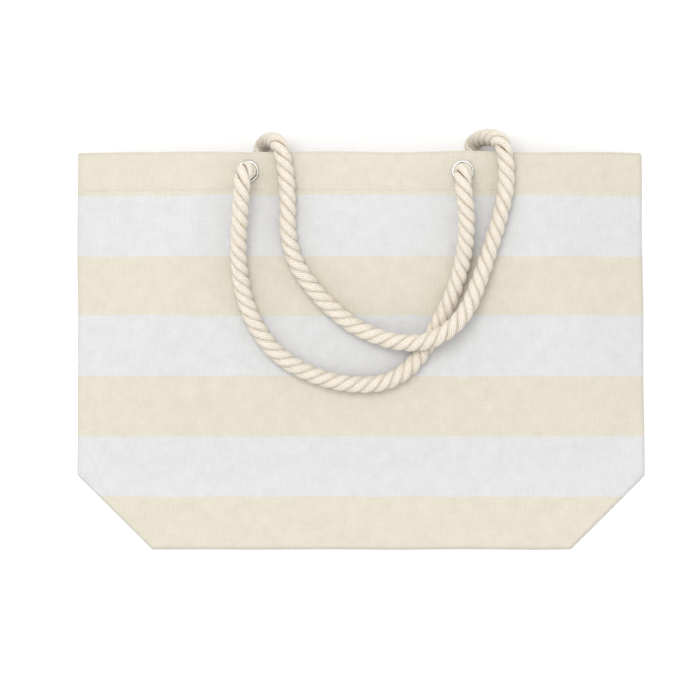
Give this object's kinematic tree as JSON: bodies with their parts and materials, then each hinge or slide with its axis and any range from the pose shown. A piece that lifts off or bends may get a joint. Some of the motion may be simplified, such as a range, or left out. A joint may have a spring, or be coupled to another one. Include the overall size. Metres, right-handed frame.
{
  "type": "beach bag",
  "caption": "Wide striped canvas beach tote with boxed base folded flat, turned-in hem, metal eyelets and twisted rope handles, lying on its back.",
  "frame": {"origin": "on the surface the bag lies on, under the middle of its outline", "axes": "+X across the bag to the right, +Y up towards the mouth, +Z out of the front panel"},
  "size_m": [0.54, 0.402, 0.0948],
  "materials": {
    "canvas": "plain-weave cotton canvas, woven in cream and white stripes",
    "seam_cloth": "overlocked raw edge of the same canvas",
    "rope": "natural cotton, three strands twisted together",
    "eyelet_metal": "polished nickel-plated steel"
  },
  "bodies": {
    "back": {"back_panel": "canvas", "back_hem": "canvas", "base_back_half": "canvas", "base_front_half": "canvas", "base_seam": "seam_cloth", "side_seam_left": "seam_cloth", "corner_fold_left": "canvas", "back_eyelet_left": "eyelet_metal", "back_washer_left": "eyelet_metal", "back_knot_left": "rope", "back_neck_left": "rope", "side_seam_right": "seam_cloth", "corner_fold_right": "canvas", "back_eyelet_right": "eyelet_metal", "back_washer_right": "eyelet_metal", "back_knot_right": "rope", "back_neck_right": "rope"},
    "front": {"front_panel": "canvas", "front_hem": "canvas", "front_eyelet_left": "eyelet_metal", "front_washer_left": "eyelet_metal", "front_knot_left": "rope", "front_neck_left": "rope", "front_eyelet_right": "eyelet_metal", "front_washer_right": "eyelet_metal", "front_knot_right": "rope", "front_neck_right": "rope"},
    "front_handle": {"front_handle": "rope"},
    "back_handle": {"back_handle": "rope"}
  },
  "joints": [
    {"name": "mouth_opening", "type": "hinge", "parent": "back", "child": "front", "pos_m": [0, -0.19, 0.005], "axis": [1, 0, 0], "range_deg": [0, 9]},
    {"name": "front_handle_swing", "type": "hinge", "parent": "front", "child": "front_handle", "pos_m": [0, 0.171, 0.0605], "axis": [-1, 0, 0], "range_deg": [0, 110], "deforming": ["front_handle"]},
    {"name": "back_handle_swing", "type": "hinge", "parent": "front", "child": "back_handle", "pos_m": [0, 0.195, 0.037], "axis": [-1, 0, 0], "range_deg": [0, 150], "deforming": ["back_handle"]}
  ]
}
